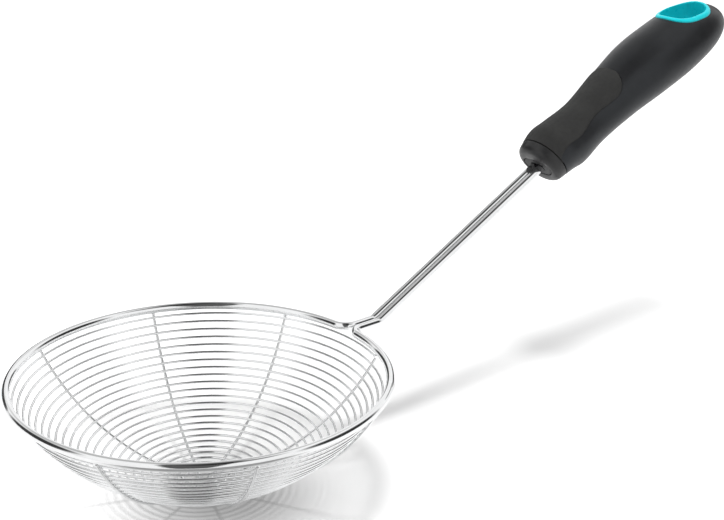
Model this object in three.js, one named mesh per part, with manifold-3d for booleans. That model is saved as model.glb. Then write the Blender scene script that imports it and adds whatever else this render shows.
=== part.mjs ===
// Wire skimmer. One spiral-wound wire makes the bowl, four crossing wires carry it, and a heavy wire
// makes the rim and turns out at both ends into a twin shank, which a moulded grip holds.
// Millimetres. +Z is up, +X runs from the bowl to the grip, and the bowl stands on the origin.
import * as THREE from 'three';
import { mergeVertices } from 'three/addons/utils/BufferGeometryUtils.js';
import Module from 'manifold-3d';

// Bowl
const RIM_RADIUS = 68.4; // rim wire, at its centre-line
const BOWL_DEPTH = 40.5; // from the rim's centre-line down to the spiral's lowest point
const FRAME_WIRE = 3.2; // diameter of the rim and shank wire
const SPIRAL_WIRE = 1.0; // diameter
const SPIRAL_TURNS = 24;
const SPIRAL_EYE = 5.1; // along the bowl, from its centre to the spiral's inner end
const SPIRAL_START = -20; // degrees round from the shank, at the outer end
const RIB_WIRE = 1.2; // diameter
const RIB_WIRES = 4; // each runs under the bowl from rim to rim, so it makes two opposite ribs
const RIB_START = -19; // degrees round from the shank
const RIB_PRESSED = 0.6; // thickness where the crossing is pressed flat by its weld
const RIB_RAMP = 10; // length over which a rib leaves the crossing
const REST_FLAT = 0.15; // depth of the flat ground under the lowest rib
const WELD_GAP = 0.3; // room left where two wires meet

// Shank
const NECK_BEND = 5.5; // centre-line radius of the turn from the rim into the shank
const NECK_RUN = 7.8; // level stretch before the shank turns up
const SHANK_BEND = 6; // centre-line radius of the upward turn
const SHANK_RISE = 27.35; // degrees
const SHANK_FREE = 97.7; // from the corner of the upward turn to the grip's nose

// Grip sections along the axis of the shank, the first ones placed from the nose and the last ones from
// the butt: half width, and height above and below the axis
const GRIP_LENGTH = 118.7;
const PALM_TO_BUTT = 50.5;
const BELLY_TO_BUTT = 33.5;
const HANG_TO_BUTT = 17.6;
const BELLY_SPREAD = 0.4; // belly's half width over the palm's
const NOSE = { at: 0, half: 10.0, top: 10.1, bottom: 9.5 };
const THUMB_STOP = { at: 9.7, half: 12.0, top: 12.7, bottom: 10.2 };
const COLLAR = { at: 17.2, half: 12.1, top: 12.0, bottom: 11.6 };
const WAIST = { at: 31.2, half: 11.3, top: 10.6, bottom: 10.55 };
const PALM = { at: GRIP_LENGTH - PALM_TO_BUTT, half: 15.0, top: 13.4, bottom: 13.0 };
const BELLY = { at: GRIP_LENGTH - BELLY_TO_BUTT, half: PALM.half + BELLY_SPREAD, top: 11.8, bottom: 14.6 };
const HANG = { at: GRIP_LENGTH - HANG_TO_BUTT, half: 14.4, top: 9.35, bottom: 15.05 };
const BUTT = { at: GRIP_LENGTH, half: 13.0, top: 4.5, bottom: 16.0 };
const SHOULDER = { at: (WAIST.at + PALM.at) / 2, half: 12.8, top: 12.4, bottom: 11.2 };
const NOSE_FILLET = 2.4;
const BUTT_ROUND = 24.5; // length of the rounded end
const BUTT_POWER = 2.3; // 2 is a plain ellipse, more is blunter

// Pieces of the grip
const NOSE_LEAN = 11; // degrees, the nose and its seam lean forward at the top
const SEAM_AT = 5; // nose cap's length on the axis
const CORE_WIDTH = 13.8;
const CORE_HEIGHT = 7.6;
const CORE_SETBACK = 0.2; // core's face behind the nose's face
const CORE_END = 8; // core beyond the ends of the wires
const HANG_WEB = 18; // solid stretch between the core and the hanging hole
const THUMB_REACH = 51.7; // thumb rest's end, from the nose
const THUMB_FRONT_HALF = 10.8; // its half width at the collar
const THUMB_WAIST_HALF = 8.9;
const THUMB_END_HALF = 10.2;
const THUMB_CORNER = 7.2; // radius of its two end corners
const THUMB_DEPTH = 2.2;
const THUMB_PROUD = 0.2;
const RING_LENGTH = 24; // lining of the hanging hole, along the grip
const RING_WIDTH = 20.4;
const RING_POWER = 2.4; // 2 is a plain ellipse, more is squarer
const RING_WALL = 1.7;
const RING_PROUD = 0.8;
const RING_TILT = 12; // degrees, square to the drooping skin
const FIT_GAP = 0.3; // room between the pieces of the grip

// Facets
const FRAME_SIDES = 10;
const RIM_STEPS = 72;
const BEND_STEPS = 6;
const SPIRAL_SIDES = 6;
const SPIRAL_STEPS = 24; // a turn
const RIB_SIDES = 8;
const RIB_STEPS = 12; // from the ramp to the rim
const RAMP_STEPS = 5;
const GRIP_SIDES = 32;
const GRIP_STEPS = 26;
const FILLET_STEPS = 4;
const BUTT_STEPS = 7;
const OVAL_SEGMENTS = 12;

// Derived places
const rad = THREE.MathUtils.degToRad;
const BOWL_RADIUS = (RIM_RADIUS ** 2 + BOWL_DEPTH ** 2) / (2 * BOWL_DEPTH);
const RIM_ARC = BOWL_RADIUS * Math.atan2(RIM_RADIUS, BOWL_RADIUS - BOWL_DEPTH);
const RIB_SEAT = SPIRAL_WIRE / 2 + WELD_GAP; // top of a rib, outside the spiral's centre-line
const PRESSED_WIDTH = RIB_WIRE ** 2 / RIB_PRESSED;
const CROSSING = (PRESSED_WIDTH + WELD_GAP) / (2 * Math.sin(Math.PI / RIB_WIRES / 2));
const crossingOffset = (layer) => RIB_SEAT + RIB_PRESSED / 2 + layer * (RIB_PRESSED + WELD_GAP);
const RIM_Z = BOWL_DEPTH + crossingOffset(RIB_WIRES - 1) + RIB_PRESSED / 2 - REST_FLAT;
const TWIN = FRAME_WIRE / 2 + WELD_GAP / 2; // each shank wire's distance from the middle
const CORE_LENGTH = HANG.at - RING_LENGTH / 2 - FIT_GAP - HANG_WEB;
const TANG_LENGTH = CORE_LENGTH - CORE_END; // wire inside the grip

const wasm = await Module();
wasm.setup();

// Closed skin through rings of equally many points, with a fan to a middle point at each end.
function loft(rings, firstMiddle, lastMiddle) {
  const count = rings[0].length;
  const points = [...rings.flat(), firstMiddle, lastMiddle];
  const first = points.length - 2;
  const last = points.length - 1;
  const index = [];
  for (let ring = 0; ring + 1 < rings.length; ring++) {
    for (let side = 0; side < count; side++) {
      const a = ring * count + side;
      const b = ring * count + ((side + 1) % count);
      index.push(a, b, b + count, a, b + count, a + count);
    }
  }
  const end = (rings.length - 1) * count;
  for (let side = 0; side < count; side++) {
    const next = (side + 1) % count;
    index.push(first, next, side, last, end + side, end + next);
  }
  let volume = 0;
  for (let i = 0; i < index.length; i += 3) {
    volume += points[index[i]].dot(points[index[i + 1]].clone().cross(points[index[i + 2]]));
  }
  const geometry = new THREE.BufferGeometry().setFromPoints(points);
  geometry.setIndex(volume > 0 ? index : index.reverse());
  geometry.computeVertexNormals();
  return geometry;
}

// One cross-section of a wire: an ellipse with flats to its front and back.
function wireRing(centre, side, rise, halfWidth, halfHeight, sides) {
  const ring = [];
  for (let i = 0; i < sides; i++) {
    const angle = ((i + 0.5) / sides) * 2 * Math.PI;
    const across = side.clone().multiplyScalar(halfWidth * Math.cos(angle));
    ring.push(centre.clone().add(across).addScaledVector(rise, halfHeight * Math.sin(angle)));
  }
  return ring;
}

// Round wire along points that each carry the direction of travel.
function roundWire(path, diameter, sides) {
  const up = new THREE.Vector3(0, 0, 1);
  const rings = path.map(({ point, along }) => {
    const side = along.clone().cross(up).normalize();
    const rise = side.clone().cross(along).normalize();
    return wireRing(point, side, rise, diameter / 2, diameter / 2, sides);
  });
  return loft(rings, path[0].point, path[path.length - 1].point);
}

// Point at an arc length from the bowl's centre, outside the spiral's centre-line by an offset.
function bowlPoint(arc, azimuth, offset) {
  const slope = arc / BOWL_RADIUS;
  const reach = (BOWL_RADIUS + offset) * Math.sin(slope);
  const height = RIM_Z + BOWL_RADIUS - BOWL_DEPTH - (BOWL_RADIUS + offset) * Math.cos(slope);
  return new THREE.Vector3(reach * Math.cos(azimuth), reach * Math.sin(azimuth), height);
}

function solidOf(geometry) {
  const bare = geometry.clone();
  bare.deleteAttribute('normal');
  bare.deleteAttribute('uv');
  const merged = mergeVertices(bare);
  const vertProperties = Float32Array.from(merged.attributes.position.array);
  const triVerts = Uint32Array.from(merged.index.array);
  return new wasm.Manifold(new wasm.Mesh({ numProp: 3, vertProperties, triVerts }));
}

function geometryOf(solid) {
  const { vertProperties, triVerts } = solid.getMesh();
  const geometry = new THREE.BufferGeometry();
  geometry.setAttribute('position', new THREE.BufferAttribute(vertProperties, 3));
  geometry.setIndex(new THREE.BufferAttribute(triVerts, 1));
  geometry.computeVertexNormals();
  return geometry;
}

function piece(name, geometry, material) {
  const mesh = new THREE.Mesh(geometry, material);
  mesh.name = name;
  return mesh;
}

const polishedSteel = new THREE.MeshStandardMaterial({ color: 0xd4d6d8, roughness: 0.15, metalness: 1 });
const satinBlack = new THREE.MeshStandardMaterial({ color: 0x17181a, roughness: 0.42, metalness: 0 });
const softGrey = new THREE.MeshStandardMaterial({ color: 0x2c2d2d, roughness: 0.8, metalness: 0 });
const tealPlastic = new THREE.MeshStandardMaterial({ color: 0x0fb8c6, roughness: 0.3, metalness: 0 });

// Rim and shank, one wire. Each end leaves the rim by an outward bend, runs level, turns up into the
// shank and stops inside the grip. One half is worked out and mirrored.
const neckX = Math.sqrt((RIM_RADIUS + NECK_BEND) ** 2 - (TWIN + NECK_BEND) ** 2);
const neckAngle = Math.atan2(TWIN + NECK_BEND, neckX);
const rise = rad(SHANK_RISE);
const turnUp = SHANK_BEND * Math.tan(rise / 2);
const cornerX = neckX + NECK_RUN + turnUp;
const shankDirection = new THREE.Vector3(Math.cos(rise), 0, Math.sin(rise));
const noseCentre = new THREE.Vector3(cornerX, 0, RIM_Z).addScaledVector(shankDirection, SHANK_FREE);

function frameHalf() {
  const half = [];
  const tangEnd = noseCentre.clone().addScaledVector(shankDirection, TANG_LENGTH);
  tangEnd.y = TWIN;
  half.push({ point: tangEnd, along: shankDirection.clone().negate() });
  for (let i = 0; i <= BEND_STEPS; i++) {
    const angle = rise * (1 - i / BEND_STEPS);
    const x = cornerX - turnUp + SHANK_BEND * Math.sin(angle);
    const z = RIM_Z + SHANK_BEND * (1 - Math.cos(angle));
    const along = new THREE.Vector3(-Math.cos(angle), 0, -Math.sin(angle));
    half.push({ point: new THREE.Vector3(x, TWIN, z), along });
  }
  for (let i = 0; i <= BEND_STEPS; i++) {
    const angle = (Math.PI / 2 - neckAngle) * (i / BEND_STEPS);
    const x = neckX - NECK_BEND * Math.sin(angle);
    const y = TWIN + NECK_BEND * (1 - Math.cos(angle));
    const along = new THREE.Vector3(-Math.cos(angle), Math.sin(angle), 0);
    half.push({ point: new THREE.Vector3(x, y, RIM_Z), along });
  }
  return half;
}

function frameWire() {
  const half = frameHalf();
  const path = [...half];
  for (let i = 1; i < RIM_STEPS; i++) {
    const angle = neckAngle + (2 * Math.PI - 2 * neckAngle) * (i / RIM_STEPS);
    const point = new THREE.Vector3(RIM_RADIUS * Math.cos(angle), RIM_RADIUS * Math.sin(angle), RIM_Z);
    path.push({ point, along: new THREE.Vector3(-Math.sin(angle), Math.cos(angle), 0) });
  }
  for (const { point, along } of half.reverse()) {
    const mirrored = new THREE.Vector3(point.x, -point.y, point.z);
    path.push({ point: mirrored, along: new THREE.Vector3(-along.x, along.y, -along.z) });
  }
  return roundWire(path, FRAME_WIRE, FRAME_SIDES);
}

// Bowl wire: one unbroken spiral at an even pitch, from under the rim down to the eye.
function spiralPath() {
  const outer = RIM_ARC - FRAME_WIRE / 2 - SPIRAL_WIRE / 2 - WELD_GAP;
  const pitch = (outer - SPIRAL_EYE) / SPIRAL_TURNS;
  const points = [];
  for (let i = 0; i <= SPIRAL_TURNS * SPIRAL_STEPS; i++) {
    const turn = i / SPIRAL_STEPS;
    points.push(bowlPoint(outer - pitch * turn, rad(SPIRAL_START) + turn * 2 * Math.PI, 0));
  }
  return points.map((point, i) => {
    const before = points[Math.max(i - 1, 0)];
    const after = points[Math.min(i + 1, points.length - 1)];
    return { point, along: after.clone().sub(before).normalize() };
  });
}

function leastGap(path, diameter) {
  let least = Infinity;
  for (let i = 0; i < path.length; i++) {
    for (let j = i + Math.ceil(SPIRAL_STEPS / 2); j < path.length; j++) {
      least = Math.min(least, path[i].point.distanceTo(path[j].point));
    }
  }
  return least - diameter;
}

// Rib: a wire under the bowl from rim to rim. At the crossing the ribs lie in layers, pressed flat.
function ribWire(number) {
  const azimuth = rad(RIB_START) + (number * Math.PI) / RIB_WIRES;
  const seatAcross = Math.max((FRAME_WIRE / 2 + WELD_GAP) ** 2 - RIB_SEAT ** 2, 0);
  const end = RIM_ARC - Math.sqrt(seatAcross);
  const rampEnd = CROSSING + RIB_RAMP;
  const arcs = [];
  for (let i = 0; i < RIB_STEPS; i++) {
    arcs.push(THREE.MathUtils.lerp(end, rampEnd, i / RIB_STEPS));
  }
  for (let i = 0; i <= RAMP_STEPS; i++) {
    arcs.push(THREE.MathUtils.lerp(rampEnd, CROSSING, i / RAMP_STEPS));
  }
  const side = new THREE.Vector3(-Math.sin(azimuth), Math.cos(azimuth), 0);
  const centre = new THREE.Vector3(0, 0, RIM_Z + BOWL_RADIUS - BOWL_DEPTH);
  const both = [...arcs, ...arcs.map((arc) => -arc).reverse()];
  const rings = both.map((arc) => {
    const pressed = 1 - THREE.MathUtils.smoothstep(Math.abs(arc), CROSSING, rampEnd);
    const offset = THREE.MathUtils.lerp(RIB_SEAT + RIB_WIRE / 2, crossingOffset(number), pressed);
    const height = THREE.MathUtils.lerp(RIB_WIRE, RIB_PRESSED, pressed) / 2;
    const width = THREE.MathUtils.lerp(RIB_WIRE, PRESSED_WIDTH, pressed) / 2;
    const point = bowlPoint(arc, azimuth, offset);
    const outward = point.clone().sub(centre).normalize();
    return wireRing(point, side, outward, width, height, RIB_SIDES);
  });
  const lastArc = both[both.length - 1];
  const middles = [end, lastArc].map((arc) => bowlPoint(arc, azimuth, RIB_SEAT + RIB_WIRE / 2));
  return loft(rings, ...middles);
}

// The lowest rib is ground flat where the bowl stands.
function groundFlat(geometry) {
  const below = new THREE.BoxGeometry(4 * RIM_RADIUS, 4 * RIM_RADIUS, BOWL_DEPTH);
  below.translate(0, 0, -BOWL_DEPTH / 2);
  return geometryOf(solidOf(geometry).subtract(solidOf(below)));
}

// Outside of the whole grip, moved out by an amount. X runs along the grip from its nose, Z is its top.
const sections = [NOSE, THUMB_STOP, COLLAR, WAIST, SHOULDER, PALM, BELLY, HANG, BUTT];
const upperLine = new THREE.CatmullRomCurve3(
  sections.map(({ at, half, top }) => new THREE.Vector3(at, half, top)), false, 'catmullrom');
const lowerLine = new THREE.CatmullRomCurve3(
  sections.map(({ at, half, bottom }) => new THREE.Vector3(at, half, bottom)), false, 'catmullrom');

function gripSection(x) {
  let low = 0;
  let high = 1;
  for (let i = 0; i < 30; i++) {
    const middle = (low + high) / 2;
    if (upperLine.getPoint(middle).x < x) {
      low = middle;
    } else {
      high = middle;
    }
  }
  const { y: half, z: top } = upperLine.getPoint(low);
  const { z: bottom } = lowerLine.getPoint(low);
  return { half, height: (top + bottom) / 2, middle: (top - bottom) / 2 };
}

function gripRing(x, share, grow) {
  const { half, height, middle } = gripSection(x);
  const centre = new THREE.Vector3(x, 0, middle);
  const across = new THREE.Vector3(0, 1, 0);
  const lean = Math.tan(rad(NOSE_LEAN)) * (1 - THREE.MathUtils.smoothstep(x, 0, WAIST.at));
  const up = new THREE.Vector3(-lean, 0, 1);
  return wireRing(centre, across, up, half * share + grow, height * share + grow, GRIP_SIDES);
}

function gripSkin(grow) {
  const rings = [];
  for (let i = 0; i <= FILLET_STEPS; i++) {
    const angle = (i / FILLET_STEPS) * (Math.PI / 2);
    const x = NOSE_FILLET * (1 - Math.cos(angle));
    rings.push(gripRing(x, 1, grow - NOSE_FILLET * (1 - Math.sin(angle))));
  }
  const roundStart = BUTT.at - BUTT_ROUND;
  for (let i = 1; i <= GRIP_STEPS; i++) {
    rings.push(gripRing(THREE.MathUtils.lerp(NOSE_FILLET, roundStart, i / GRIP_STEPS), 1, grow));
  }
  for (let i = 1; i <= BUTT_STEPS; i++) {
    const angle = (i / (BUTT_STEPS + 1)) * (Math.PI / 2);
    const x = roundStart + BUTT_ROUND * Math.sin(angle) ** (2 / BUTT_POWER);
    rings.push(gripRing(x, Math.cos(angle) ** (2 / BUTT_POWER), grow));
  }
  const nose = new THREE.Vector3(0, 0, gripSection(0).middle);
  const butt = new THREE.Vector3(BUTT.at + grow, 0, gripSection(BUTT.at).middle);
  return solidOf(loft(rings, nose, butt));
}

// Straight bar along the grip with the outline given across it.
function bar(outline, from, to) {
  const geometry = new THREE.ExtrudeGeometry(outline, {
    depth: to - from, bevelEnabled: false, curveSegments: OVAL_SEGMENTS });
  const turn = new THREE.Matrix4().makeBasis(
    new THREE.Vector3(0, 1, 0), new THREE.Vector3(0, 0, 1), new THREE.Vector3(1, 0, 0));
  geometry.applyMatrix4(turn).translate(from, 0, 0);
  return solidOf(geometry);
}

function stadium(width, height) {
  const shape = new THREE.Shape();
  const run = (width - height) / 2;
  shape.absarc(run, 0, height / 2, -Math.PI / 2, Math.PI / 2, false);
  shape.absarc(-run, 0, height / 2, Math.PI / 2, Math.PI * 1.5, false);
  return shape;
}

// Everything in front of (-1) or behind (+1) a plane across the grip that leans like the nose.
function sideOf(at, direction) {
  const size = 2 * BUTT.at;
  const block = new THREE.BoxGeometry(size, size, size).translate((direction * size) / 2, 0, 0);
  return solidOf(block.rotateY(rad(-NOSE_LEAN)).translate(at, 0, 0));
}

// Thumb rest's outline seen from above the grip, as a straight-sided block through the top half.
function thumbBlock(grow) {
  const front = THUMB_FRONT_HALF + grow;
  const waist = THUMB_WAIST_HALF + grow;
  const end = THUMB_END_HALF + grow;
  const corner = THUMB_CORNER + grow;
  const cornerAt = THUMB_REACH - THUMB_CORNER;
  const shape = new THREE.Shape();
  shape.moveTo(-NOSE.half, -front);
  shape.lineTo(COLLAR.at, -front);
  shape.splineThru([new THREE.Vector2(WAIST.at, -waist), new THREE.Vector2(cornerAt, -end)]);
  shape.absarc(cornerAt, corner - end, corner, -Math.PI / 2, 0, false);
  shape.absarc(cornerAt, end - corner, corner, 0, Math.PI / 2, false);
  shape.splineThru([new THREE.Vector2(WAIST.at, waist), new THREE.Vector2(COLLAR.at, front)]);
  shape.lineTo(-NOSE.half, front);
  const depth = 2 * THUMB_STOP.top;
  const settings = { depth, bevelEnabled: false, curveSegments: OVAL_SEGMENTS };
  return solidOf(new THREE.ExtrudeGeometry(shape, settings));
}

// Oval post through the grip at the hanging hole, on an axis that meets the top of the skin at HANG.
function hangPost(inset) {
  const outline = [];
  const ease = (value) => Math.sign(value) * Math.abs(value) ** (2 / RING_POWER);
  for (let i = 0; i < 2 * OVAL_SEGMENTS; i++) {
    const angle = (i / OVAL_SEGMENTS) * Math.PI;
    const along = (RING_LENGTH / 2 - inset) * ease(Math.cos(angle));
    outline.push(new THREE.Vector2(along, (RING_WIDTH / 2 - inset) * ease(Math.sin(angle))));
  }
  const depth = 4 * HANG.bottom;
  const geometry = new THREE.ExtrudeGeometry(new THREE.Shape(outline), { depth, bevelEnabled: false });
  geometry.translate(0, 0, -depth / 2).rotateY(rad(RING_TILT));
  return solidOf(geometry.translate(HANG.at - HANG.top * Math.tan(rad(RING_TILT)), 0, 0));
}

// Core: hard block that holds both wire ends; its face shows in the nose.
const pocketOutline = stadium(CORE_WIDTH + 2 * FIT_GAP, CORE_HEIGHT + 2 * FIT_GAP);
const corePocket = bar(pocketOutline, -NOSE.half, CORE_LENGTH + FIT_GAP);
const slotOutline = stadium(2 * (TWIN + FRAME_WIRE / 2 + FIT_GAP), FRAME_WIRE + 2 * FIT_GAP);
const wireSlot = bar(slotOutline, -NOSE.half, TANG_LENGTH + FIT_GAP);
const coreBlock = bar(stadium(CORE_WIDTH, CORE_HEIGHT), -NOSE.half, CORE_LENGTH);
const handleCore = coreBlock.intersect(sideOf(CORE_SETBACK, 1)).subtract(wireSlot);

// Nose cap and grip body share one skin, parted at the seam. The thumb rest lies in a seat in the body,
// and the ring lines the hanging hole.
const skin = gripSkin(0);
const noseCap = skin.intersect(sideOf(SEAM_AT - FIT_GAP / 2, -1)).subtract(corePocket);
const behindSeam = sideOf(SEAM_AT + FIT_GAP / 2, 1);
const thumbSeat = thumbBlock(FIT_GAP).subtract(gripSkin(-THUMB_DEPTH - FIT_GAP));
const hollowed = skin.intersect(behindSeam).subtract(corePocket);
const gripBody = hollowed.subtract(thumbSeat).subtract(hangPost(-FIT_GAP));
const thumbLayer = gripSkin(THUMB_PROUD).subtract(gripSkin(-THUMB_DEPTH));
const thumbRest = thumbLayer.intersect(thumbBlock(0)).intersect(behindSeam);
const hangRing = gripSkin(RING_PROUD).intersect(hangPost(0)).subtract(hangPost(RING_WALL));

const spiral = spiralPath();
console.log(`spiral: least gap to itself ${leastGap(spiral, SPIRAL_WIRE).toFixed(2)} mm`);

const skimmer = new THREE.Group();
skimmer.add(piece('frame_wire', frameWire(), polishedSteel));
skimmer.add(piece('spiral_wire', roundWire(spiral, SPIRAL_WIRE, SPIRAL_SIDES), polishedSteel));
for (let number = 0; number < RIB_WIRES; number++) {
  const lowest = number === RIB_WIRES - 1;
  const geometry = lowest ? groundFlat(ribWire(number)) : ribWire(number);
  skimmer.add(piece(`rib_wire_${number + 1}`, geometry, polishedSteel));
}

const grip = new THREE.Group();
grip.position.copy(noseCentre);
grip.rotation.y = -rise;
grip.add(piece('handle_core', geometryOf(handleCore), satinBlack));
grip.add(piece('nose_cap', geometryOf(noseCap), satinBlack));
grip.add(piece('grip_body', geometryOf(gripBody), satinBlack));
grip.add(piece('thumb_rest', geometryOf(thumbRest), softGrey));
grip.add(piece('hang_ring', geometryOf(hangRing), tealPlastic));
skimmer.add(grip);

export default skimmer;
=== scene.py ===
"""Kitchen skimmer on a pale studio floor: spiral-wound wire bowl, twin wire shank and moulded grip."""
import math

import bmesh
import bpy
from mathutils import Matrix, Vector


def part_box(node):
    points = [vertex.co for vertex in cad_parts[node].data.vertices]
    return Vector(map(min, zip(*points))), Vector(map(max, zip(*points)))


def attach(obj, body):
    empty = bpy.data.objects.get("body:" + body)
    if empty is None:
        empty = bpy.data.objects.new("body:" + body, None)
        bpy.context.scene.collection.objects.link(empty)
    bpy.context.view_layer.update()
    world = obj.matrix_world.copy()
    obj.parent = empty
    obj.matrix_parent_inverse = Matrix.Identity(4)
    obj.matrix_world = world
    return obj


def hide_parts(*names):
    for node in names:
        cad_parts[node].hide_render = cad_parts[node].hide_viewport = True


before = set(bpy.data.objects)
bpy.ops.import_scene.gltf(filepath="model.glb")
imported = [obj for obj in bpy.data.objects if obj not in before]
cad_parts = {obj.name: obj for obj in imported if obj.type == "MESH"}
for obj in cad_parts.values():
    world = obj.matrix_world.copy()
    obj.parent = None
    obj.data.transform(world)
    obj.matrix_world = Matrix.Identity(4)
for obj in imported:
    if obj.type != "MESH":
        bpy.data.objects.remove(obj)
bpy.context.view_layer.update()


# Frame wire: one length of heavy drawn stainless wire, polished. Its middle is the rim of the bowl. Both
# ends turn out from the rim, run level side by side, turn up as the shank and end inside the grip.
MM = 0.001
FRAME_WIRE = 3.2 * MM
RIM_RADIUS = 68.4 * MM
TWIN = 1.75 * MM
NECK_BEND = 5.5 * MM
NECK_RUN = 7.8 * MM
SHANK_BEND = 6 * MM
SHANK_FREE = 97.7 * MM
TANG_LENGTH = 62.8 * MM
RISE = math.radians(27.35)
FRAME_SIDES = 28
RIM_STEPS = 150
NECK_STEPS = 20
SHANK_STEPS = 10
MERGE = 0.001 * MM
SHARP_OVER = math.radians(40)
NOISE_LOW = 0.3
NOISE_HIGH = 0.7
rim_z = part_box("frame_wire")[0].z + FRAME_WIRE / 2
neck_x = math.sqrt((RIM_RADIUS + NECK_BEND) ** 2 - (TWIN + NECK_BEND) ** 2)
neck_turn = math.atan2(TWIN + NECK_BEND, neck_x)
turn_up = SHANK_BEND * math.tan(RISE / 2)
shank_way = Vector((math.cos(RISE), 0, math.sin(RISE)))


def new_finish(name, **sockets):
    """A material with its shader's plain values set, and the Object coordinates that its patterns read."""
    finish = bpy.data.materials.new(name)
    finish.use_nodes = True
    nodes = finish.node_tree.nodes
    shader = nodes["Principled BSDF"]
    for socket, value in sockets.items():
        shader.inputs[socket.replace("_", " ")].default_value = value
    place = nodes.new("ShaderNodeTexCoord")
    return finish, shader, place.outputs["Object"]


def add_noise(finish, coords, scale, detail):
    """Cloudy variation over a finish, at a scale in cells per metre."""
    noise = finish.node_tree.nodes.new("ShaderNodeTexNoise")
    noise.inputs["Scale"].default_value = scale
    noise.inputs["Detail"].default_value = detail
    finish.node_tree.links.new(coords, noise.inputs["Vector"])
    return noise.outputs["Fac"]


def shade_between(finish, factor, dark, light, socket):
    """Lets a finish's colour wander between two near shades."""
    ramp = finish.node_tree.nodes.new("ShaderNodeValToRGB")
    ramp.color_ramp.elements[0].position = NOISE_LOW
    ramp.color_ramp.elements[0].color = (*dark, 1)
    ramp.color_ramp.elements[1].position = NOISE_HIGH
    ramp.color_ramp.elements[1].color = (*light, 1)
    finish.node_tree.links.new(factor, ramp.inputs["Fac"])
    finish.node_tree.links.new(ramp.outputs["Color"], socket)


def change_over(tree, value, limits, results, kind="LINEAR"):
    """A value that goes between two results while another goes between two limits."""
    change = tree.nodes.new("ShaderNodeMapRange")
    change.interpolation_type = kind
    for socket, number in zip(("From Min", "From Max", "To Min", "To Max"), (*limits, *results)):
        change.inputs[socket].default_value = number
    tree.links.new(value, change.inputs["Value"])
    return change.outputs["Result"]


def patterned_finish(name, shades, gloss, grain, **sockets):
    """A finish with cloudy patterns of colour and roughness, and a fine grain in its surface."""
    finish, shader, coords = new_finish(name, **sockets)
    links = finish.node_tree.links
    colour_cloud = add_noise(finish, coords, shades["scale"], shades["detail"])
    shade_between(finish, colour_cloud, shades["dark"], shades["light"], shader.inputs["Base Color"])
    gloss_cloud = add_noise(finish, coords, gloss["scale"], gloss["detail"])
    limits, results = (NOISE_LOW, NOISE_HIGH), (gloss["low"], gloss["high"])
    links.new(change_over(finish.node_tree, gloss_cloud, limits, results), shader.inputs["Roughness"])
    relief = finish.node_tree.nodes.new("ShaderNodeBump")
    relief.inputs["Strength"].default_value = grain["strength"]
    relief.inputs["Distance"].default_value = grain["depth"]
    links.new(add_noise(finish, coords, grain["scale"], grain["detail"]), relief.inputs["Height"])
    links.new(relief.outputs["Normal"], shader.inputs["Normal"])
    return finish


def add_piece(name, data, finish, slot, *nodes):
    """Puts a finished mesh or curve in the scene, on the one body, in place of its CAD nodes."""
    piece = bpy.data.objects.new(name, data)
    bpy.context.scene.collection.objects.link(piece)
    data.materials.append(finish)
    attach(piece, "root")
    if nodes:
        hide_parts(*nodes)


def mesh_data(name, mesh):
    """Turns a finished bmesh into smooth mesh data that keeps its hard edges."""
    bmesh.ops.recalc_face_normals(mesh, faces=mesh.faces)
    data = bpy.data.meshes.new(name)
    mesh.to_mesh(data)
    mesh.free()
    data.shade_smooth()
    data.set_sharp_from_angle(angle=SHARP_OVER)
    return data


def wire_end(mesh, diameter, sides, place):
    """The open round end from which a wire is drawn."""
    made = bmesh.ops.create_circle(mesh, segments=sides, radius=diameter / 2, matrix=place)
    return list({e for v in made["verts"] for e in v.link_edges})


def bend(mesh, end, centre, axis, angle, steps):
    """Bends the wire on from its open end."""
    turned = bmesh.ops.spin(mesh, geom=end, cent=centre, axis=axis, angle=angle, steps=steps)
    return [g for g in turned["geom_last"] if isinstance(g, bmesh.types.BMEdge)]


def corners_of(drawn):
    """The vertices among what an operator drew."""
    return [g for g in drawn if isinstance(g, bmesh.types.BMVert)]


def far_edges(drawn):
    """The edges at the far end of what an operator drew."""
    corners = set(corners_of(drawn))
    return [g for g in drawn if isinstance(g, bmesh.types.BMEdge) and corners.issuperset(g.verts)]


def run(mesh, end, way):
    """Draws the wire straight on from its open end."""
    drawn = bmesh.ops.extrude_edge_only(mesh, edges=end)["geom"]
    bmesh.ops.translate(mesh, verts=corners_of(drawn), vec=way)
    return far_edges(drawn)


steel = patterned_finish(
    "polished_steel",
    shades={"dark": (0.86, 0.865, 0.87), "light": (0.92, 0.925, 0.93), "scale": 90, "detail": 3},
    gloss={"low": 0.05, "high": 0.13, "scale": 420, "detail": 2},
    grain={"strength": 0.05, "depth": 0.05 * MM, "scale": 1500, "detail": 2},
    Metallic=1.0,
)

wire = bmesh.new()
upright = Matrix.Translation((-RIM_RADIUS, 0, rim_z)) @ Matrix.Rotation(math.radians(90), 4, "X")
end = wire_end(wire, FRAME_WIRE, FRAME_SIDES, upright)
end = bend(wire, end, (0, 0, rim_z), (0, 0, 1), neck_turn - math.pi, RIM_STEPS)
end = bend(wire, end, (neck_x, TWIN + NECK_BEND, rim_z), (0, 0, 1), math.pi / 2 - neck_turn, NECK_STEPS)
end = run(wire, end, (NECK_RUN, 0, 0))
end = bend(wire, end, (neck_x + NECK_RUN, TWIN, rim_z + SHANK_BEND), (0, 1, 0), -RISE, SHANK_STEPS)
end = run(wire, end, shank_way * (SHANK_FREE - turn_up + TANG_LENGTH))
bmesh.ops.edgeloop_fill(wire, edges=end)
bmesh.ops.mirror(wire, geom=wire.verts[:] + wire.edges[:] + wire.faces[:], axis="Y", merge_dist=MERGE)
add_piece("rim_and_shank", mesh_data("rim_and_shank", wire), steel, "steel", "frame_wire")


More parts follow.
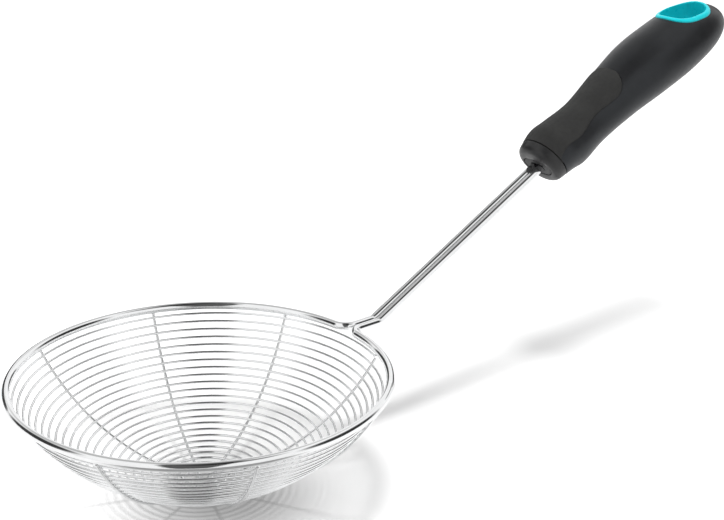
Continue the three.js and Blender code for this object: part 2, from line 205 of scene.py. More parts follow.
# Bowl wire: one thin stainless wire wound in a spiral on a dished former, from just under the rim down
# to the eye at the bottom. It is polished with the rest once it is welded up.
SPIRAL_WIRE = 1.0 * MM
SPIRAL_TURNS = 24
SPIRAL_EYE = 5.1 * MM
SPIRAL_START = math.radians(-20)
SPIRAL_STEPS = 72
SPIRAL_ROUNDNESS = 3
WELD_GAP = 0.3 * MM
BOWL_DEPTH = 40.5 * MM
bowl_radius = (RIM_RADIUS**2 + BOWL_DEPTH**2) / (2 * BOWL_DEPTH)
bowl_centre = Vector((0, 0, rim_z + bowl_radius - BOWL_DEPTH))
rim_arc = bowl_radius * math.atan2(RIM_RADIUS, bowl_radius - BOWL_DEPTH)
spiral_outer = rim_arc - FRAME_WIRE / 2 - SPIRAL_WIRE / 2 - WELD_GAP
spiral_pitch = (spiral_outer - SPIRAL_EYE) / SPIRAL_TURNS


def bowl_point(arc, azimuth, outside=0.0):
    """A place on the bowl, by its distance along the bowl from the bottom and its way round."""
    slope = arc / bowl_radius
    reach = (bowl_radius + outside) * math.sin(slope)
    drop = (bowl_radius + outside) * math.cos(slope)
    return bowl_centre + Vector((reach * math.cos(azimuth), reach * math.sin(azimuth), -drop))


winding = bpy.data.curves.new("bowl_spiral", "CURVE")
winding.dimensions = "3D"
winding.twist_mode = "Z_UP"
winding.bevel_depth = SPIRAL_WIRE / 2
winding.bevel_resolution = SPIRAL_ROUNDNESS
winding.use_fill_caps = True
turns = winding.splines.new("POLY")
turns.points.add(SPIRAL_TURNS * SPIRAL_STEPS)
for i, point in enumerate(turns.points):
    turn = i / SPIRAL_STEPS
    place = bowl_point(spiral_outer - spiral_pitch * turn, SPIRAL_START + turn * 2 * math.pi)
    point.co = (*place, 1)
add_piece("bowl_spiral", winding, steel, "steel", "spiral_wire")


# Rib wires: four stainless wires under the bowl, each from rim to rim, spot-welded to every turn of the
# spiral. Where they cross at the bottom they lie in layers, and the weld has pressed them flat.
RIB_WIRE = 1.2 * MM
RIB_WIRES = 4
RIB_START = math.radians(-19)
RIB_PRESSED = 0.6 * MM
RIB_RAMP = 10 * MM
WELD_SINK = 0.2 * MM
RIB_SIDES = 16
RIB_STEPS = 120
pressed_width = RIB_WIRE**2 / RIB_PRESSED
crossing = (pressed_width + WELD_GAP) / (2 * math.sin(math.pi / RIB_WIRES / 2))
rib_seat = (SPIRAL_WIRE + RIB_WIRE) / 2 - WELD_SINK
rib_end = rim_arc - FRAME_WIRE / 2


def ease(value, low, high):
    """Smooth step from 0 at low to 1 at high."""
    share = min(max((value - low) / (high - low), 0), 1)
    return share * share * (3 - 2 * share)


for number in range(RIB_WIRES):
    layer = SPIRAL_WIRE / 2 + WELD_GAP + RIB_PRESSED / 2 + number * (RIB_PRESSED + WELD_GAP)
    rib = bmesh.new()
    lowest = bowl_centre - Vector((0, 0, bowl_radius + rib_seat))
    upright = Matrix.Translation(lowest) @ Matrix.Rotation(math.radians(90), 4, "Y")
    end = wire_end(rib, RIB_WIRE, RIB_SIDES, upright)
    half_sweep = rib_end / bowl_radius
    bmesh.ops.rotate(rib, verts=rib.verts, cent=bowl_centre, matrix=Matrix.Rotation(-half_sweep, 3, "Y"))
    bmesh.ops.edgeloop_fill(rib, edges=end)
    end = bend(rib, end, bowl_centre, (0, 1, 0), 2 * half_sweep, RIB_STEPS)
    bmesh.ops.edgeloop_fill(rib, edges=end)
    for corner in rib.verts:
        spoke = corner.co - bowl_centre
        slope = math.atan2(spoke.x, -spoke.z)
        pressed = 1 - ease(abs(slope) * bowl_radius, crossing, crossing + RIB_RAMP)
        height = math.hypot(spoke.x, spoke.z) - bowl_radius - rib_seat
        height *= 1 + pressed * (RIB_PRESSED / RIB_WIRE - 1)
        reach = bowl_radius + rib_seat + pressed * (layer - rib_seat) + height
        width = spoke.y * (1 + pressed * (pressed_width / RIB_WIRE - 1))
        corner.co = bowl_centre + Vector((reach * math.sin(slope), width, -reach * math.cos(slope)))
        corner.co.z = max(corner.co.z, 0)
    turn = Matrix.Rotation(RIB_START + number * math.pi / RIB_WIRES, 3, "Z")
    bmesh.ops.rotate(rib, verts=rib.verts, cent=(0, 0, 0), matrix=turn)
    name = f"rib_{number + 1}"
    add_piece(name, mesh_data(name, rib), steel, "steel", f"rib_wire_{number + 1}")


# Spot welds: each crossing of a rib with a turn of the spiral is a small melted bead, and each rib end is
# a larger one under the rim. They are polished over with the wires.
BEAD = 0.72 * MM
RIM_BEAD = 1.0 * MM
BEAD_FLATNESS = 0.85
BEAD_SIDES = 8
BEAD_RINGS = 6
welds = bmesh.new()


def add_bead(mesh, place, radius):
    """One melted bead, flatter along the bowl's own thickness."""
    out = (place - bowl_centre).normalized()
    lie = out.to_track_quat("Z", "Y").to_matrix().to_4x4()
    flat = Matrix.Diagonal((radius, radius, radius * BEAD_FLATNESS, 1))
    seat = Matrix.Translation(place) @ lie @ flat
    bmesh.ops.create_uvsphere(mesh, u_segments=BEAD_SIDES, v_segments=BEAD_RINGS, radius=1, matrix=seat)


for number in range(2 * RIB_WIRES):
    azimuth = RIB_START + number * math.pi / RIB_WIRES
    first_turn = ((azimuth - SPIRAL_START) / (2 * math.pi)) % 1
    for turn in range(SPIRAL_TURNS):
        arc = spiral_outer - spiral_pitch * (first_turn + turn)
        if arc > crossing + RIB_RAMP / 2:
            add_bead(welds, bowl_point(arc, azimuth, SPIRAL_WIRE / 2), BEAD)
    add_bead(welds, bowl_point(rib_end, azimuth, rib_seat), RIM_BEAD)
add_piece("weld_beads", mesh_data("weld_beads", welds), steel, "steel")


# Core: hard black plastic block inside the grip that both ends of the frame wire are set in. Only its oval
# face shows, sunk a little in the nose, so the CAD solid stays and takes the finish.
core_plastic = patterned_finish(
    "core_plastic",
    shades={"dark": (0.015, 0.015, 0.0155), "light": (0.021, 0.021, 0.0215), "scale": 300, "detail": 3},
    gloss={"low": 0.45, "high": 0.6, "scale": 700, "detail": 2},
    grain={"strength": 0.2, "depth": 0.05 * MM, "scale": 2500, "detail": 2},
)
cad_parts["handle_core"].material_slots[0].material = core_plastic


# Nose cap: short moulded collar of charcoal plastic on the front of the grip, with a flat leaning face and
# a rounded edge. The core's oval plug sits in its middle. The grip's outline, which the cap begins, is in
# millimetres: the way along from the nose, the half width, and the top and bottom from the axis.
GRIP_SECTIONS = {
    "nose": {"at": 0, "half": 10.0, "top": 10.1, "bottom": 9.5},
    "thumb_stop": {"at": 9.7, "half": 12.0, "top": 12.7, "bottom": 10.2},
    "collar": {"at": 17.2, "half": 12.1, "top": 12.0, "bottom": 11.6},
    "waist": {"at": 31.2, "half": 11.3, "top": 10.6, "bottom": 10.55},
    "shoulder": {"at": 49.7, "half": 12.8, "top": 12.4, "bottom": 11.2},
    "palm": {"at": 68.2, "half": 15.0, "top": 13.4, "bottom": 13.0},
    "belly": {"at": 85.2, "half": 15.4, "top": 11.8, "bottom": 14.6},
    "hang": {"at": 101.1, "half": 14.4, "top": 9.35, "bottom": 15.05},
    "butt": {"at": 118.7, "half": 13.0, "top": 4.5, "bottom": 16.0},
}
NOSE_FILLET = 2.4 * MM
NOSE_LEAN = math.tan(math.radians(11))
SEAM_AT = 5 * MM
SEAM_EDGE = 0.45 * MM
CORE_WIDTH = 13.8 * MM
CORE_HEIGHT = 7.6 * MM
PLUG_STEEPNESS = 3
PLUG_EDGE = 0.3 * MM
PLUG_EDGE_BACK = 0.08 * MM
PLUG_EDGE_OUT = 0.09 * MM
FIT_GAP = 0.3 * MM
GRIP_SIDES = 96
NOSE_STEPS = 10
CAP_STEPS = 4
SEAM_STEPS = 5
SECTION_HALVINGS = 30
waist_at = GRIP_SECTIONS["waist"]["at"] * MM
cap_back = SEAM_AT - FIT_GAP / 2
nose = Vector((neck_x + NECK_RUN + turn_up, 0, rim_z)) + shank_way * SHANK_FREE
grip_place = Matrix.Translation(nose) @ Matrix.Rotation(-RISE, 4, "Y")


def smooth_through(before, first, last, after, share):
    """Smooth curve between the middle two of four values."""
    slope_in = (last - before) / 2
    slope_out = (after - first) / 2
    bow = 2 * (first - last) + slope_in + slope_out
    return first + share * (slope_in + share * (last - first - slope_in - bow + share * bow))


def grip_section(x):
    """Half width, half height and middle of the grip's outline at a place along it."""
    rows = list(GRIP_SECTIONS.values())
    x = min(max(x / MM, 0), rows[-1]["at"])
    index = max(i for i in range(len(rows) - 1) if rows[i]["at"] <= x)
    keys = ("at", "half", "top", "bottom")
    first, last = rows[index], rows[index + 1]
    before = rows[index - 1] if index else {k: 2 * first[k] - last[k] for k in keys}
    after = rows[index + 2] if index + 2 < len(rows) else {k: 2 * last[k] - first[k] for k in keys}
    low, high = 0.0, 1.0
    for _ in range(SECTION_HALVINGS):
        share = (low + high) / 2
        if smooth_through(before["at"], first["at"], last["at"], after["at"], share) < x:
            low = share
        else:
            high = share
    half, top, bottom = (
        smooth_through(before[k], first[k], last[k], after[k], share) * MM for k in ("half", "top", "bottom")
    )
    return half, (top + bottom) / 2, (top - bottom) / 2


def grip_point(x, angle, share=1.0, grow=0.0):
    """A place on the grip's skin, by its way along and round, in the grip's own frame."""
    half, height, middle = grip_section(x)
    rise = (height * share + grow) * math.sin(angle)
    lean = NOSE_LEAN * (1 - ease(x, 0, waist_at))
    return Vector((x - lean * rise, (half * share + grow) * math.cos(angle), middle + rise))


def plug_point(x, angle, grow):
    """A place on the oval outline of the core's plug."""
    radius = CORE_HEIGHT / 2 + grow
    straight = (CORE_WIDTH - CORE_HEIGHT) / 2
    shift = straight * max(-1, min(1, PLUG_STEEPNESS * math.cos(angle)))
    rise = radius * math.sin(angle)
    lean = NOSE_LEAN * (1 - ease(x, 0, waist_at))
    return Vector((x - lean * rise, shift + radius * math.cos(angle), rise))


def lofted(rings, sides):
    """A tube whose rings are then placed one by one: each ring gives the place at an angle."""
    tube = bmesh.new()
    circle = bmesh.ops.create_circle(tube, segments=sides, radius=1)["verts"]
    angles = {v: math.atan2(v.co.y, v.co.x) for v in circle}
    end = list({e for v in circle for e in v.link_edges})
    for number, ring in enumerate(rings):
        if number:
            turned = {}
            drawn = bmesh.ops.extrude_edge_only(tube, edges=end)["geom"]
            for v in corners_of(drawn):
                old = next(e.other_vert(v) for e in v.link_edges if e.other_vert(v) in angles)
                turned[v] = angles[old]
            end = far_edges(drawn)
            angles = turned
        for v, angle in angles.items():
            v.co = ring(angle)
    return tube


def open_ends(tube):
    """Edges round the open ends of a tube, or round a sheet."""
    return [e for e in tube.edges if e.is_boundary]


def round_over(radius, steps):
    """Quarter-round edge as (inset, back) pairs, from the face to the side."""
    turns = [i / steps * math.pi / 2 for i in range(steps + 1)]
    return [(radius * (1 - math.sin(t)), radius * (1 - math.cos(t))) for t in turns]


cap_plastic = patterned_finish(
    "charcoal_plastic",
    shades={"dark": (0.018, 0.018, 0.0185), "light": (0.023, 0.023, 0.0235), "scale": 160, "detail": 3},
    gloss={"low": 0.3, "high": 0.4, "scale": 500, "detail": 2},
    grain={"strength": 0.16, "depth": 0.05 * MM, "scale": 2600, "detail": 2},
    Specular_IOR_Level=0.4,
)

cap_rings = [lambda a: plug_point(cap_back, a, FIT_GAP)]
cap_rings.append(lambda a: plug_point(PLUG_EDGE, a, FIT_GAP))
cap_rings.append(lambda a: plug_point(PLUG_EDGE_BACK, a, FIT_GAP + PLUG_EDGE_OUT))
cap_rings.append(lambda a: plug_point(0, a, FIT_GAP + PLUG_EDGE))
for inset, back in round_over(NOSE_FILLET, NOSE_STEPS):
    cap_rings.append(lambda a, i=inset, b=back: grip_point(b, a, grow=-i))
for i in range(1, CAP_STEPS + 1):
    along = NOSE_FILLET + (cap_back - SEAM_EDGE - NOSE_FILLET) * i / CAP_STEPS
    cap_rings.append(lambda a, x=along: grip_point(x, a))
for inset, back in reversed(round_over(SEAM_EDGE, SEAM_STEPS)[:-1]):
    cap_rings.append(lambda a, i=inset, b=back: grip_point(cap_back - b, a, grow=-i))
cap = lofted(cap_rings, GRIP_SIDES)
bmesh.ops.bridge_loops(cap, edges=open_ends(cap))
bmesh.ops.transform(cap, verts=cap.verts, matrix=grip_place)
add_piece("nose_cap_moulding", mesh_data("nose_cap_moulding", cap), cap_plastic, "cap", "nose_cap")


# Grip body: moulded in satin black plastic, waisted for the fingers, full in the palm and rounded at the
# butt. It has a shallow seat for the thumb rest and an oval hole right through for hanging.
THUMB_REACH = 51.7 * MM
THUMB_FRONT_HALF = 10.8 * MM
THUMB_WAIST_HALF = 8.9 * MM
THUMB_END_HALF = 10.2 * MM
THUMB_CORNER = 7.2 * MM
THUMB_DEPTH = 2.2 * MM
RING_LENGTH = 24 * MM
RING_WIDTH = 20.4 * MM
RING_POWER = 2.4
RING_TILT = math.radians(12)
CORE_LENGTH = 70.8 * MM
BUTT_ROUND = 24.5 * MM
BUTT_POWER = 2.3
SEAT_GAP = 0.12 * MM
SEAT_CLEAR = 2 * MM
HOLE_GAP = 0.2 * MM
POST_REACH = 40 * MM
SEAT_ROWS = 150
SEAT_COLUMNS = 60
BODY_STEPS = 90
BUTT_STEPS = 28
BUTT_FLAT = 0.4
collar_at = GRIP_SECTIONS["collar"]["at"] * MM
hang_at = GRIP_SECTIONS["hang"]["at"] * MM
hang_top = GRIP_SECTIONS["hang"]["top"] * MM
body_front = SEAM_AT + FIT_GAP / 2
round_start = GRIP_SECTIONS["butt"]["at"] * MM - BUTT_ROUND


def thumb_half(x):
    """Half width of the thumb rest at a place along the grip."""
    if x <= collar_at:
        return THUMB_FRONT_HALF
    if x <= waist_at:
        return THUMB_FRONT_HALF + (THUMB_WAIST_HALF - THUMB_FRONT_HALF) * ease(x, collar_at, waist_at)
    corner_at = THUMB_REACH - THUMB_CORNER
    half = THUMB_WAIST_HALF + (THUMB_END_HALF - THUMB_WAIST_HALF) * ease(x, waist_at, corner_at)
    if x > corner_at:
        half -= THUMB_CORNER - math.sqrt(max(THUMB_CORNER**2 - (x - corner_at) ** 2, 0))
    return half


def thumb_patch(rows, columns, grow, lift):
    """Sheet over the thumb rest's outline. Its lift from the grip's skin depends on the edge's distance."""
    sheet = bmesh.new()
    bmesh.ops.create_grid(sheet, x_segments=rows, y_segments=columns, size=1)
    reach = THUMB_REACH + grow
    for v in sheet.verts:
        along = body_front + (reach - body_front) * math.sin((v.co.x + 1) * math.pi / 4)
        half = thumb_half(along - grow if along > waist_at else along) + grow
        across = half * math.sin(v.co.y * math.pi / 2)
        edge = min(half - abs(across), reach - along)
        skin_half = grip_section(along)[0]
        rise = lift(edge, along)
        angle = math.acos(max(-1, min(1, across / (skin_half + rise))))
        v.co = grip_point(along, angle, grow=rise)
    return sheet


def closed_under(sheet, depth):
    """Closes a sheet into a block that reaches a depth below it, down the grip's own Z."""
    drawn = bmesh.ops.extrude_edge_only(sheet, edges=open_ends(sheet))["geom"]
    bmesh.ops.translate(sheet, verts=corners_of(drawn), vec=(0, 0, -depth))
    bmesh.ops.edgeloop_fill(sheet, edges=open_ends(sheet))
    bmesh.ops.recalc_face_normals(sheet, faces=sheet.faces)
    return sheet


def hang_frame(length, width, height, angle):
    """A place on an oval post through the hanging hole, in the grip's own frame."""
    turns = (math.cos(angle), math.sin(angle))
    along, across = (math.copysign(abs(v) ** (2 / RING_POWER), v) for v in turns)
    place = Vector((length / 2 * along, width / 2 * across, height))
    foot = Vector((hang_at - hang_top * math.tan(RING_TILT), 0, 0))
    return Matrix.Rotation(RING_TILT, 3, "Y") @ place + foot


def cut_away(data, cutter):
    """Cuts one closed mesh out of another and gives the result as a new bmesh."""
    body = bpy.data.objects.new("uncut", data)
    tool_data = bpy.data.meshes.new("cutter")
    cutter.to_mesh(tool_data)
    cutter.free()
    tool = bpy.data.objects.new("cutter", tool_data)
    for helper in (body, tool):
        bpy.context.scene.collection.objects.link(helper)
    cut = body.modifiers.new("cut", "BOOLEAN")
    cut.operation = "DIFFERENCE"
    cut.solver = "EXACT"
    cut.object = tool
    shaped = body.evaluated_get(bpy.context.evaluated_depsgraph_get()).to_mesh()
    result = bmesh.new()
    result.from_mesh(shaped)
    for helper in (body, tool):
        bpy.data.objects.remove(helper)
    bpy.data.meshes.remove(data)
    bpy.data.meshes.remove(tool_data)
    return result


grip_plastic = patterned_finish(
    "satin_black_plastic",
    shades={"dark": (0.014, 0.0142, 0.015), "light": (0.019, 0.0192, 0.0203), "scale": 120, "detail": 3},
    gloss={"low": 0.31, "high": 0.4, "scale": 380, "detail": 3},
    grain={"strength": 0.12, "depth": 0.05 * MM, "scale": 3000, "detail": 2},
    Specular_IOR_Level=0.36,
    # The bluish specular tint is painted light: it gives the sheen the colour of the light.
    Specular_Tint=(0.86, 0.93, 1, 1),
)

body_rings = [lambda a: plug_point(CORE_LENGTH + FIT_GAP, a, FIT_GAP)]
body_rings.append(lambda a: plug_point(body_front, a, FIT_GAP))
for inset, back in round_over(SEAM_EDGE, SEAM_STEPS):
    body_rings.append(lambda a, i=inset, b=back: grip_point(body_front + b, a, grow=-i))
for i in range(1, BODY_STEPS + 1):
    along = body_front + SEAM_EDGE + (round_start - body_front - SEAM_EDGE) * i / BODY_STEPS
    body_rings.append(lambda a, x=along: grip_point(x, a))
for i in range(1, BUTT_STEPS + 1):
    turn = i / (BUTT_STEPS + BUTT_FLAT) * math.pi / 2
    along = round_start + BUTT_ROUND * math.sin(turn) ** (2 / BUTT_POWER)
    close = math.cos(turn) ** (2 / BUTT_POWER)
    body_rings.append(lambda a, x=along, c=close: grip_point(x, a, share=c))
body = lofted(body_rings, GRIP_SIDES)
for loop in (body.verts[:GRIP_SIDES], body.verts[-GRIP_SIDES:]):
    bmesh.ops.contextual_create(body, geom=[e for e in open_ends(body) if set(e.verts) <= set(loop)])
bmesh.ops.recalc_face_normals(body, faces=body.faces)
body_data = bpy.data.meshes.new("grip_uncut")
body.to_mesh(body_data)
body.free()

seat = thumb_patch(SEAT_ROWS, SEAT_COLUMNS, SEAT_GAP, lambda edge, along: SEAT_CLEAR)
body = cut_away(body_data, closed_under(seat, THUMB_DEPTH + SEAT_CLEAR))
body_data = bpy.data.meshes.new("grip_seated")
body.to_mesh(body_data)
body.free()
post_rings = [
    lambda a, h=height: hang_frame(RING_LENGTH + HOLE_GAP, RING_WIDTH + HOLE_GAP, h, a)
    for height in (-POST_REACH, POST_REACH)
]
post = lofted(post_rings, GRIP_SIDES)
bmesh.ops.edgeloop_fill(post, edges=open_ends(post))
bmesh.ops.recalc_face_normals(post, faces=post.faces)
body = cut_away(body_data, post)
bmesh.ops.transform(body, verts=body.verts, matrix=grip_place)
add_piece("grip_moulding", mesh_data("grip_moulding", body), grip_plastic, "grip", "grip_body")


# Thumb rest: tongue of matt dark grey soft rubber moulded into its seat on top of the grip. It lies flush
# at the collar, and its rounded end stands a little proud.
THUMB_PROUD = 0.35 * MM
THUMB_EDGE = 0.5 * MM
THUMB_ROWS = 180
THUMB_COLUMNS = 90
soft_rubber = patterned_finish(
    "soft_rubber",
    shades={"dark": (0.031, 0.031, 0.0305), "light": (0.039, 0.039, 0.038), "scale": 140, "detail": 4},
    gloss={"low": 0.66, "high": 0.8, "scale": 600, "detail": 2},
    grain={"strength": 0.3, "depth": 0.06 * MM, "scale": 2200, "detail": 3},
    Specular_IOR_Level=0.3,
)


def thumb_lift(edge, along):
    """Height of the soft inlay over the skin: level in the middle, rolled off at its edge."""
    proud = THUMB_PROUD * ease(along, collar_at, THUMB_REACH)
    if edge >= THUMB_EDGE or along < collar_at:
        return proud
    short = THUMB_EDGE - max(edge, 0)
    return proud - THUMB_EDGE + math.sqrt(THUMB_EDGE**2 - short**2)


thumb = closed_under(thumb_patch(THUMB_ROWS, THUMB_COLUMNS, 0.0, thumb_lift), THUMB_DEPTH)
bmesh.ops.transform(thumb, verts=thumb.verts, matrix=grip_place)
add_piece("thumb_inlay", mesh_data("thumb_inlay", thumb), soft_rubber, "thumb", "thumb_rest")


# Hanging ring: oval lining of glossy teal plastic pressed through the grip. Its rounded lip stands proud on
# top, its lower end lies flush with the skin, and the wall between them lines the hole.
RING_WALL = 1.7 * MM
RING_PROUD = 0.78 * MM
RING_HOLD = 1.2 * MM
LIP_STEPS = 12
LIP_POWER = 0.6
SKIN_SEARCH = 30 * MM
SKIN_HALVINGS = 40
BUTT_TIP = 0.9999
teal = patterned_finish(
    "teal_plastic",
    shades={"dark": (0.007, 0.7, 0.78), "light": (0.011, 0.75, 0.83), "scale": 110, "detail": 3},
    gloss={"low": 0.26, "high": 0.36, "scale": 500, "detail": 2},
    grain={"strength": 0.08, "depth": 0.04 * MM, "scale": 2600, "detail": 2},
    Specular_IOR_Level=0.35,
)


def skin_height(angle, inset, side):
    """Height on the hanging post where it leaves the grip's skin, above (+1) or below (-1)."""
    low, high = 0.0, SKIN_SEARCH
    for _ in range(SKIN_HALVINGS):
        height = (low + high) / 2
        place = hang_frame(RING_LENGTH - 2 * inset, RING_WIDTH - 2 * inset, side * height, angle)
        share = 1.0
        if place.x > round_start:
            reach = min((place.x - round_start) / BUTT_ROUND, BUTT_TIP) ** (BUTT_POWER / 2)
            share = math.cos(math.asin(reach)) ** (2 / BUTT_POWER)
        half, tall, middle = grip_section(place.x)
        if (place.y / (half * share)) ** 2 + ((place.z - middle) / (tall * share)) ** 2 < 1:
            low = height
        else:
            high = height
    return side * low


lip = [(0.0, -RING_HOLD)]
for i in range(LIP_STEPS + 1):
    turn = i / LIP_STEPS * math.pi
    lip.append((RING_WALL / 2 * (1 - math.cos(turn)), RING_PROUD * math.sin(turn) ** LIP_POWER))
lip.append((RING_WALL, -RING_HOLD))


def lip_ring(inset, lift, side):
    """One ring of the lining, by its distance in from the outside and its lift over the skin."""
    def place(angle):
        height = skin_height(angle, inset, side) + side * lift
        return hang_frame(RING_LENGTH - 2 * inset, RING_WIDTH - 2 * inset, height, angle)
    return place


ring_rings = [lip_ring(inset, lift, 1) for inset, lift in lip]
ring_rings += [lip_ring(inset, min(lift, 0), -1) for inset, lift in reversed(lip)]
ring = lofted(ring_rings, GRIP_SIDES)
bmesh.ops.bridge_loops(ring, edges=open_ends(ring))
bmesh.ops.transform(ring, verts=ring.verts, matrix=grip_place)
add_piece("hanging_ring", mesh_data("hanging_ring", ring), teal, "ring", "hang_ring")


# Studio: white paper sweep under the object, a soft lamp high overhead and low light from behind. The paper
# has a painted shadow in its colour and glow under the bowl, a painted glow that grows away from the shank's
# shadow, and a painted darker patch in front that only metal shows. The room is white with dark places,
# behind the camera, overhead and at the sides, that polished wire shows.
FLOOR_SIZE = 6
FLOOR_CELLS = 8
PAPER_DARK = (0.87, 0.87, 0.87)
PAPER_LIGHT = (0.89, 0.89, 0.89)
PAPER_SCALE = 40
PAPER_DETAIL = 2
# Painted light in the floor's glow: weakest near the root of the shank's shadow and rising away from it,
NEAR_GLOW = 0.05
FAR_GLOW = 0.55
MIRROR_GLOW = 0.22
# so that cast shadows fade with distance.
GLOW_FROM = (0.099, 0.003, 0)
GLOW_REACH = 0.18
# Painted shadow under the bowl: round this place the paper's colour and glow are darkened.
PAINTED_SHADOW_AT = (0, -0.012, 0)
PAINTED_SHADOW_INNER = 0.005
PAINTED_SHADOW_OUTER = 0.056
PAINTED_SHADOW_SHADE = 0.24
PAINTED_SHADOW_GLOW = 0.65
# Painted darker paper in front of the bowl, seen only in reflections on metal.
FRONT_AT = (-0.108, -0.168, 0)
FRONT_INNER = 0.11
FRONT_OUTER = 0.16
FRONT_PAINTED_SHADE = 0.3
KEY_POWER = 6
KEY_SIZE = 0.22
KEY_FROM = Vector((0.06, -0.11, 1))
LOW_FILL = 2.1
HIGH_FILL = 0.3
LOW_LIMITS = (0.2, 0.7)
BEHIND_LIMITS = (-0.3, 0.5)
FILL_FROM = (0.64, 0.77, 0)
BEFORE_DIFFUSE = 0.5
DARK_PATCHES = (
    {"turn": -130, "rise": 50, "inner": 54, "outer": 70, "pinch": 7, "grey": 0.1},
    {"turn": -84, "rise": 72, "inner": 10, "outer": 22, "pinch": 0, "grey": 0.25},
    {"turn": 131, "rise": 20, "inner": 19, "outer": 33, "pinch": 0, "grey": 0.04},
    {"turn": -34, "rise": 22, "inner": 19, "outer": 33, "pinch": 0, "grey": 0.04},
    {"turn": 70, "rise": 54, "inner": 14, "outer": 34, "pinch": 0, "grey": 0.5},
    {"turn": 82, "rise": 4, "inner": 18, "outer": 21, "pinch": 0, "grey": 0.05},
    {"turn": 27, "rise": 4, "inner": 9, "outer": 12, "pinch": 0, "grey": 0.05},
)

floor_mesh = bmesh.new()
bmesh.ops.create_grid(floor_mesh, x_segments=FLOOR_CELLS, y_segments=FLOOR_CELLS, size=FLOOR_SIZE / 2)
floor_data = bpy.data.meshes.new("floor")
floor_mesh.to_mesh(floor_data)
floor_mesh.free()
floor = bpy.data.objects.new("floor", floor_data)
bpy.context.scene.collection.objects.link(floor)


def add_math(tree, operation, first, second):
    """One sum on two sockets or numbers."""
    node = tree.nodes.new("ShaderNodeMath")
    node.operation = operation
    for socket, value in zip(node.inputs, (first, second)):
        if isinstance(value, bpy.types.NodeSocket):
            tree.links.new(value, socket)
        else:
            socket.default_value = value
    return node.outputs[0]


def sees_background(tree):
    """1 for rays that show the background: from the camera, off polished faces and through clear ones. A ray
    that has already lit a matt face doesn't count, so that polished wire throws no light on the floor."""
    path = tree.nodes.new("ShaderNodeLightPath")
    either = add_math(tree, "MAXIMUM", path.outputs["Is Glossy Ray"], path.outputs["Is Transmission Ray"])
    any_of = add_math(tree, "MAXIMUM", path.outputs["Is Camera Ray"], either)
    unlit = add_math(tree, "LESS_THAN", path.outputs["Diffuse Depth"], BEFORE_DIFFUSE)
    return path, add_math(tree, "MULTIPLY", any_of, unlit)


paper, paper_shader, paper_coords = new_finish("white_paper", Roughness=0.9, Specular_IOR_Level=0.1)
paper_shader.inputs["Emission Color"].default_value = (1, 1, 1, 1)
paper_tree = paper.node_tree


def over_floor(place, limits, results, kind):
    """A value over the floor that changes with the distance from a place on it."""
    far_off = paper_tree.nodes.new("ShaderNodeVectorMath")
    far_off.operation = "DISTANCE"
    far_off.inputs[1].default_value = place
    paper_tree.links.new(paper_coords, far_off.inputs[0])
    return change_over(paper_tree, far_off.outputs["Value"], limits, results, kind)


paper_path, paper_shown = sees_background(paper_tree)
seen_direct = paper_path.outputs["Is Camera Ray"]
seen_in_metal = add_math(paper_tree, "SUBTRACT", paper_shown, seen_direct)
# Painted reflection: metal sees the paper's colour darker in front of the bowl.
front_limits = (FRONT_INNER, FRONT_OUTER)
painted_front_dimming = over_floor(FRONT_AT, front_limits, (1 - FRONT_PAINTED_SHADE, 0), "SMOOTHSTEP")
painted_front_loss = add_math(paper_tree, "MULTIPLY", seen_in_metal, painted_front_dimming)
painted_front_shade = add_math(paper_tree, "SUBTRACT", 1, painted_front_loss)
# Painted shadow in the paper's colour: darker round the place under the bowl.
painted_shadow_limits = (PAINTED_SHADOW_INNER, PAINTED_SHADOW_OUTER)
painted_shadow_colour = over_floor(PAINTED_SHADOW_AT, painted_shadow_limits, (PAINTED_SHADOW_SHADE, 1), "SMOOTHSTEP")
painted_floor_shade = add_math(paper_tree, "MULTIPLY", painted_shadow_colour, painted_front_shade)
painted_paper_colour = paper_tree.nodes.new("ShaderNodeVectorMath")
painted_paper_colour.operation = "SCALE"
paper_cloud = add_noise(paper, paper_coords, PAPER_SCALE, PAPER_DETAIL)
shade_between(paper, paper_cloud, PAPER_DARK, PAPER_LIGHT, painted_paper_colour.inputs[0])
paper_tree.links.new(painted_floor_shade, painted_paper_colour.inputs["Scale"])
paper_tree.links.new(painted_paper_colour.outputs["Vector"], paper_shader.inputs["Base Color"])

# Painted light and shade in the glow: it rises away from the shank's shadow and is weaker under the bowl.
painted_glow_rise = over_floor(GLOW_FROM, (0, GLOW_REACH), (NEAR_GLOW, FAR_GLOW), "LINEAR")
painted_shadow_in_glow = over_floor(PAINTED_SHADOW_AT, painted_shadow_limits, (PAINTED_SHADOW_GLOW, 1), "SMOOTHSTEP")
painted_floor_glow = add_math(paper_tree, "MULTIPLY", painted_glow_rise, painted_shadow_in_glow)
direct_glow = add_math(paper_tree, "MULTIPLY", seen_direct, painted_floor_glow)
mirror_glow = add_math(paper_tree, "MULTIPLY", seen_in_metal, MIRROR_GLOW)
# The glow that metal sees is dimmed in front by the same painted darkening.
painted_dimmed_glow = add_math(paper_tree, "MULTIPLY", mirror_glow, painted_front_shade)
shown_glow = add_math(paper_tree, "ADD", direct_glow, painted_dimmed_glow)
paper_tree.links.new(shown_glow, paper_shader.inputs["Emission Strength"])
floor_data.materials.append(paper)

world = bpy.data.worlds.new("studio")
bpy.context.scene.world = world
world.use_nodes = True
tree = world.node_tree
tree.nodes.clear()
path, shown = sees_background(tree)
way = tree.nodes.new("ShaderNodeTexCoord")


def towards(direction):
    """How far a ray into the room goes along a direction."""
    along = tree.nodes.new("ShaderNodeVectorMath")
    along.operation = "DOT_PRODUCT"
    along.inputs[1].default_value = direction
    tree.links.new(way.outputs["Generated"], along.inputs[0])
    return along.outputs["Value"]


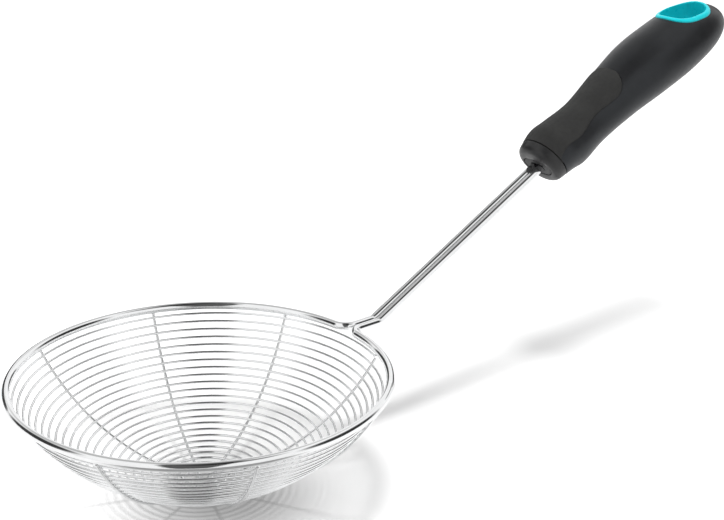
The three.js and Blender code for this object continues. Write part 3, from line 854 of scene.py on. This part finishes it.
def dark_patch(turn, rise, inner, outer, pinch, grey):
    """Brightness of the room round a dark patch with a soft edge. A pinched one is a tall upright band."""
    turn, rise, inner, outer = (math.radians(a) for a in (turn, rise, inner, outer))
    centre = Vector((math.cos(rise) * math.cos(turn), math.cos(rise) * math.sin(turn), math.sin(rise)))
    aside = towards((-math.sin(turn), math.cos(turn), 0))
    off_line = add_math(tree, "MULTIPLY", add_math(tree, "MULTIPLY", aside, aside), pinch)
    near = add_math(tree, "SUBTRACT", towards(centre), off_line)
    return change_over(tree, near, (math.cos(outer), math.cos(inner)), (1.0, grey), "SMOOTHSTEP")


room = 1.0
for patch in DARK_PATCHES:
    room = add_math(tree, "MULTIPLY", room, dark_patch(**patch))
backdrop = tree.nodes.new("ShaderNodeMix")
backdrop.data_type = "RGBA"
tree.links.new(path.outputs["Is Glossy Ray"], backdrop.inputs["Factor"])
backdrop.inputs["A"].default_value = (1, 1, 1, 1)
tree.links.new(room, backdrop.inputs["B"])
light = tree.nodes.new("ShaderNodeMapRange")
lowness = change_over(tree, towards((0, 0, 1)), LOW_LIMITS, (1.0, 0.0), "SMOOTHSTEP")
behind = change_over(tree, towards(FILL_FROM), BEHIND_LIMITS, (0.0, 1.0), "SMOOTHSTEP")
low_light = add_math(tree, "MULTIPLY", add_math(tree, "MULTIPLY", lowness, behind), LOW_FILL - HIGH_FILL)
tree.links.new(add_math(tree, "ADD", low_light, HIGH_FILL), light.inputs["To Min"])
light.inputs["To Max"].default_value = 1.0
tree.links.new(shown, light.inputs["Value"])
sky = tree.nodes.new("ShaderNodeBackground")
tree.links.new(backdrop.outputs["Result"], sky.inputs["Color"])
tree.links.new(light.outputs["Result"], sky.inputs["Strength"])
output = tree.nodes.new("ShaderNodeOutputWorld")
tree.links.new(sky.outputs["Background"], output.inputs["Surface"])

key_data = bpy.data.lights.new("overhead_lamp", "AREA")
key_data.shape = "DISK"
key_data.size = KEY_SIZE
key_data.energy = KEY_POWER
key = bpy.data.objects.new("overhead_lamp", key_data)
bpy.context.scene.collection.objects.link(key)
key.location = KEY_FROM
key.rotation_euler = KEY_FROM.to_track_quat("Z", "Y").to_euler()
key.visible_camera = False
key.visible_glossy = False


# Camera: a long lens at the photograph's viewing angle, in front of the bowl and above it. It looks down over
# the bowl and along the shank to the grip.
SENSOR_WIDTH = 36
LENS = 82.04
camera_place = Vector((-0.30077, -0.45028, 0.24851 + rim_z))
camera_target = Vector((0.04456, -0.03726, 0.04512 + rim_z))
camera_data = bpy.data.cameras.new("camera")
camera_data.sensor_width = SENSOR_WIDTH
camera_data.lens = LENS
camera = bpy.data.objects.new("camera", camera_data)
bpy.context.scene.collection.objects.link(camera)
camera.location = camera_place
camera.rotation_euler = (camera_target - camera_place).to_track_quat("-Z", "Y").to_euler()
bpy.context.scene.camera = camera
bpy.context.scene.view_settings.view_transform = "Standard"
